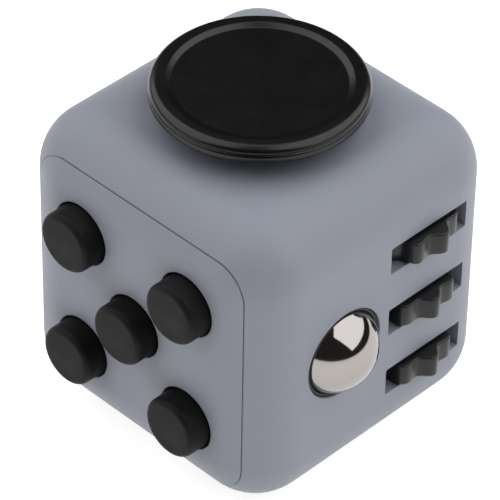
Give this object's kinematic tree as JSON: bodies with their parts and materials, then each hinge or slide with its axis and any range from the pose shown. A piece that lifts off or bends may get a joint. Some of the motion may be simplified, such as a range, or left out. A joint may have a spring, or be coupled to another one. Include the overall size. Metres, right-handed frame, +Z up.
{
  "type": "fidget cube",
  "caption": "Palm-sized rounded cube with push buttons, toothed wheels, a rolling ball, a sliding disc, a spin dial, a rocker and a thumb dish.",
  "frame": {"origin": "middle of the footprint, on the face that it stands on", "axes": "+Z up through the sliding disc, -Y out of the push buttons, +X out of the wheels and the ball"},
  "size_m": [0.0382, 0.0376, 0.037],
  "materials": {
    "casing_grey": "light bluish grey moulded plastic with a soft-touch matte coat",
    "black_plastic": "black moulded plastic, fine matte texture",
    "black_soft_plastic": "black semi-matte plastic with soft highlights on its rolled rim",
    "wheel_plastic": "charcoal moulded plastic with soft highlights",
    "polished_steel": "polished steel",
    "plain_steel": "plain steel",
    "inner_plastic": "dark grey moulded plastic",
    "silicone": "translucent grey silicone"
  },
  "bodies": {
    "casing": {"ball_holder": "inner_plastic", "ball_spring": "plain_steel", "base_screw_1": "plain_steel", "base_screw_2": "plain_steel", "bracket_screw_1": "plain_steel", "bracket_screw_2": "plain_steel", "click_cover": "casing_grey", "click_plate": "inner_plastic", "glide_base": "inner_plastic", "glide_spring": "plain_steel", "holder_screw_1": "plain_steel", "holder_screw_2": "plain_steel", "housing": "casing_grey", "keeper_screw_1": "plain_steel", "keeper_screw_2": "plain_steel", "plate_screw_1": "plain_steel", "plate_screw_2": "plain_steel", "plate_screw_3": "plain_steel", "plate_screw_4": "plain_steel", "quiet_dome_bottom_left": "silicone", "quiet_dome_top_right": "silicone", "ratchet_spring": "plain_steel", "rocker_bracket": "inner_plastic", "rocker_pin": "plain_steel", "snap_dome_bottom_right": "plain_steel", "snap_dome_centre": "plain_steel", "snap_dome_top_left": "plain_steel", "wheel_axle": "plain_steel", "wheel_keeper": "inner_plastic"},
    "button_centre": {"button_centre": "black_plastic"},
    "button_top_left": {"button_top_left": "black_plastic"},
    "button_top_right": {"button_top_right": "black_plastic"},
    "button_bottom_left": {"button_bottom_left": "black_plastic"},
    "button_bottom_right": {"button_bottom_right": "black_plastic"},
    "cross_frame": {"glide_frame": "inner_plastic"},
    "glide_disc": {"glide_slider": "inner_plastic", "glide_flange": "black_soft_plastic", "glide_pad": "black_soft_plastic", "glide_screw": "plain_steel"},
    "wheel_top": {"wheel_top": "wheel_plastic"},
    "wheel_middle": {"wheel_middle": "wheel_plastic"},
    "wheel_bottom": {"wheel_bottom": "wheel_plastic"},
    "ball_carrier": {"ball_cup": "inner_plastic"},
    "ball": {"roller_ball": "polished_steel"},
    "dial": {"spin_dial": "black_plastic", "dial_washer": "plain_steel", "dial_screw": "plain_steel"},
    "rocker": {"flip_rocker": "black_plastic", "rocker_spring": "plain_steel"},
    "plunger": {"rocker_plunger": "plain_steel"}
  },
  "joints": [
    {"name": "press_centre", "type": "slide", "parent": "casing", "child": "button_centre", "axis": [0, 1, 0], "range_m": [0, 0.0009], "stiffness_N_per_m": 1400, "springref_m": -0.0003, "deforming": ["snap_dome_centre"]},
    {"name": "press_top_left", "type": "slide", "parent": "casing", "child": "button_top_left", "axis": [0, 1, 0], "range_m": [0, 0.0009], "stiffness_N_per_m": 1400, "springref_m": -0.0003, "deforming": ["snap_dome_top_left"]},
    {"name": "press_top_right", "type": "slide", "parent": "casing", "child": "button_top_right", "axis": [0, 1, 0], "range_m": [0, 0.0009], "stiffness_N_per_m": 900, "springref_m": -0.0003, "deforming": ["quiet_dome_top_right"]},
    {"name": "press_bottom_left", "type": "slide", "parent": "casing", "child": "button_bottom_left", "axis": [0, 1, 0], "range_m": [0, 0.0009], "stiffness_N_per_m": 900, "springref_m": -0.0003, "deforming": ["quiet_dome_bottom_left"]},
    {"name": "press_bottom_right", "type": "slide", "parent": "casing", "child": "button_bottom_right", "axis": [0, 1, 0], "range_m": [0, 0.0009], "stiffness_N_per_m": 1400, "springref_m": -0.0003, "deforming": ["snap_dome_bottom_right"]},
    {"name": "glide_side", "type": "slide", "parent": "casing", "child": "cross_frame", "axis": [1, 0, 0], "range_m": [-0.0022, 0.0022], "stiffness_N_per_m": 400, "deforming": ["glide_spring"]},
    {"name": "glide_forward", "type": "slide", "parent": "cross_frame", "child": "glide_disc", "axis": [0, 1, 0], "range_m": [-0.0022, 0.0022], "stiffness_N_per_m": 400},
    {"name": "turn_wheel_top", "type": "hinge", "parent": "casing", "child": "wheel_top", "pos_m": [0.01327, 0.00626, 0.02406], "axis": [0, 0, 1], "continuous": true},
    {"name": "turn_wheel_middle", "type": "hinge", "parent": "casing", "child": "wheel_middle", "pos_m": [0.01327, 0.00626, 0.0165], "axis": [0, 0, 1], "continuous": true},
    {"name": "turn_wheel_bottom", "type": "hinge", "parent": "casing", "child": "wheel_bottom", "pos_m": [0.01327, 0.00626, 0.00894], "axis": [0, 0, 1], "continuous": true},
    {"name": "ball_press", "type": "slide", "parent": "casing", "child": "ball_carrier", "axis": [-1, 0, 0], "range_m": [0, 0.0008], "stiffness_N_per_m": 1500, "springref_m": -0.0003, "deforming": ["ball_spring"]},
    {"name": "ball_roll", "type": "hinge", "parent": "ball_carrier", "child": "ball", "pos_m": [0.0146, -0.00495, 0.0165], "axis": [0, 0, 1], "continuous": true},
    {"name": "dial_spin", "type": "hinge", "parent": "casing", "child": "dial", "pos_m": [0, 0.0165, 0.0165], "axis": [0, 1, 0], "continuous": true},
    {"name": "rocker_flip", "type": "hinge", "parent": "casing", "child": "rocker", "pos_m": [-0.0138, 0, 0.0165], "axis": [0, 1, 0], "range_deg": [-24, 0]},
    {"name": "plunger_press", "type": "slide", "parent": "rocker", "child": "plunger", "axis": [-0.9781, 0, 0.2079], "range_m": [0, 0.0004], "stiffness_N_per_m": 400, "springref_m": -0.0002, "deforming": ["rocker_spring"]}
  ]
}
